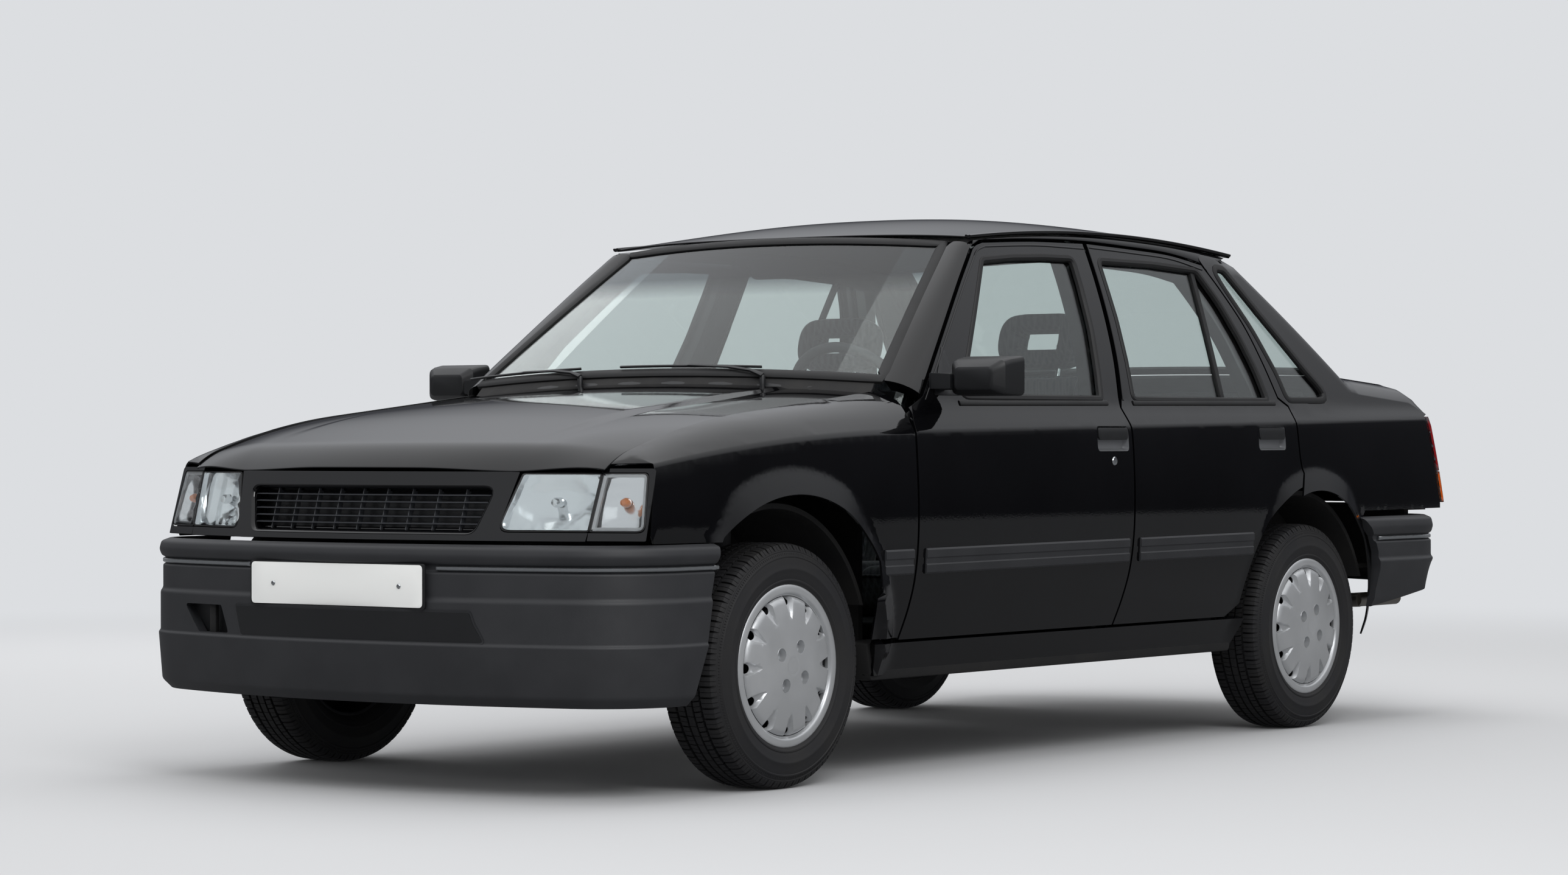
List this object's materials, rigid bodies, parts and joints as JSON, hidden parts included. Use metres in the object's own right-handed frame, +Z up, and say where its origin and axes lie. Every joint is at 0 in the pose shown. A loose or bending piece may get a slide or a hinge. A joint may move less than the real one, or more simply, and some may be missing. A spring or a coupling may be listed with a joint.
{
  "type": "four-door saloon car",
  "caption": "Black four-door notchback saloon with hollow cabin, opening doors, bonnet and boot lid, steered front wheels and full underside.",
  "frame": {"origin": "on the ground, in the middle of the car's overall length and width", "axes": "+Z up, front of the car towards -Y, the car's own left side towards +X"},
  "size_m": [1.848, 3.955, 1.3616],
  "materials": {
    "paint": "gloss black paint, clear lacquered",
    "underbody": "satin black body paint and underseal",
    "dark_plastic": "grained dark grey moulded plastic",
    "clear_glass": "clear polished safety glass",
    "lamp_lens": "fluted clear lens over a bright reflector",
    "tail_lens": "moulded red and amber lens",
    "cabin_plastic": "grained black soft plastic",
    "seat_cloth": "woven dark grey cloth",
    "cast_metal": "rough cast",
    "exhaust_steel": "dull aluminised steel",
    "chassis_black": "satin black chassis paint",
    "wheel_silver": "silver painted wheel trim on a steel wheel",
    "tyre": "moulded tread and ribbed side wall"
  },
  "bodies": {
    "root": {"floorpan": "underbody", "front_structure": "underbody", "side_frame_left": "paint", "side_frame_right": "paint", "roof": "paint", "fender_left": "paint", "fender_right": "paint", "front_panel": "paint", "grille": "dark_plastic", "front_bumper": "dark_plastic", "rear_bumper": "dark_plastic", "headlamps": "lamp_lens", "tail_lamps": "tail_lens", "windscreen": "clear_glass", "rear_glass": "clear_glass", "dashboard": "cabin_plastic", "seat_left": "seat_cloth", "seat_right": "seat_cloth", "rear_seat": "seat_cloth", "engine": "cast_metal", "exhaust": "exhaust_steel", "rear_axle": "chassis_black", "front_suspension": "chassis_black", "wipers": "dark_plastic"},
    "front_door_left": {"door_front_left": "paint", "glass_front_left": "clear_glass"},
    "rear_door_left": {"door_rear_left": "paint", "glass_rear_left": "clear_glass"},
    "knuckle_left": {"knuckle_left": "chassis_black"},
    "front_wheel_left": {"tyre_front_left": "tyre", "wheel_front_left": "wheel_silver"},
    "rear_wheel_left": {"tyre_rear_left": "tyre", "wheel_rear_left": "wheel_silver"},
    "front_door_right": {"door_front_right": "paint", "glass_front_right": "clear_glass"},
    "rear_door_right": {"door_rear_right": "paint", "glass_rear_right": "clear_glass"},
    "knuckle_right": {"knuckle_right": "chassis_black"},
    "front_wheel_right": {"tyre_front_right": "tyre", "wheel_front_right": "wheel_silver"},
    "rear_wheel_right": {"tyre_rear_right": "tyre", "wheel_rear_right": "wheel_silver"},
    "bonnet": {"bonnet": "paint"},
    "boot_lid": {"boot_lid": "paint"},
    "steering_wheel": {"steering_wheel": "cabin_plastic"}
  },
  "joints": [
    {"name": "front_door_left_hinge", "type": "hinge", "parent": "root", "child": "front_door_left", "pos_m": [0.752, -0.7745, 0.6], "axis": [0, 0, -1], "range_deg": [0, 65]},
    {"name": "rear_door_left_hinge", "type": "hinge", "parent": "root", "child": "rear_door_left", "pos_m": [0.752, 0.1685, 0.6], "axis": [0, 0, -1], "range_deg": [0, 65]},
    {"name": "front_door_right_hinge", "type": "hinge", "parent": "root", "child": "front_door_right", "pos_m": [-0.752, -0.7745, 0.6], "axis": [0, 0, 1], "range_deg": [0, 65]},
    {"name": "rear_door_right_hinge", "type": "hinge", "parent": "root", "child": "rear_door_right", "pos_m": [-0.752, 0.1685, 0.6], "axis": [0, 0, 1], "range_deg": [0, 65]},
    {"name": "bonnet_hinge", "type": "hinge", "parent": "root", "child": "bonnet", "pos_m": [0, -0.8255, 0.915], "axis": [-1, 0, 0], "range_deg": [0, 52]},
    {"name": "boot_hinge", "type": "hinge", "parent": "root", "child": "boot_lid", "pos_m": [0, 1.4445, 0.946], "axis": [1, 0, 0], "range_deg": [0, 75]},
    {"name": "steer_left", "type": "hinge", "parent": "root", "child": "knuckle_left", "pos_m": [0.545, -1.2775, 0.276], "axis": [0, 0, 1], "range_deg": [-34, 34]},
    {"name": "front_wheel_left_spin", "type": "hinge", "parent": "knuckle_left", "child": "front_wheel_left", "pos_m": [0.66, -1.2775, 0.276], "axis": [1, 0, 0], "continuous": true},
    {"name": "rear_wheel_left_spin", "type": "hinge", "parent": "root", "child": "rear_wheel_left", "pos_m": [0.6535, 1.0655, 0.276], "axis": [1, 0, 0], "continuous": true},
    {"name": "steer_right", "type": "hinge", "parent": "root", "child": "knuckle_right", "pos_m": [-0.545, -1.2775, 0.276], "axis": [0, 0, 1], "range_deg": [-34, 34]},
    {"name": "front_wheel_right_spin", "type": "hinge", "parent": "knuckle_right", "child": "front_wheel_right", "pos_m": [-0.66, -1.2775, 0.276], "axis": [1, 0, 0], "continuous": true},
    {"name": "rear_wheel_right_spin", "type": "hinge", "parent": "root", "child": "rear_wheel_right", "pos_m": [-0.6535, 1.0655, 0.276], "axis": [1, 0, 0], "continuous": true},
    {"name": "steering_wheel_turn", "type": "hinge", "parent": "root", "child": "steering_wheel", "pos_m": [0.33, -0.4625, 0.85], "axis": [0, 0.8829, 0.4695], "range_deg": [-578, 578]}
  ],
  "couplings": [
    {"joint": "steer_right", "follows": "steer_left", "ratio": 1},
    {"joint": "steering_wheel_turn", "follows": "steer_left", "ratio": 17}
  ]
}
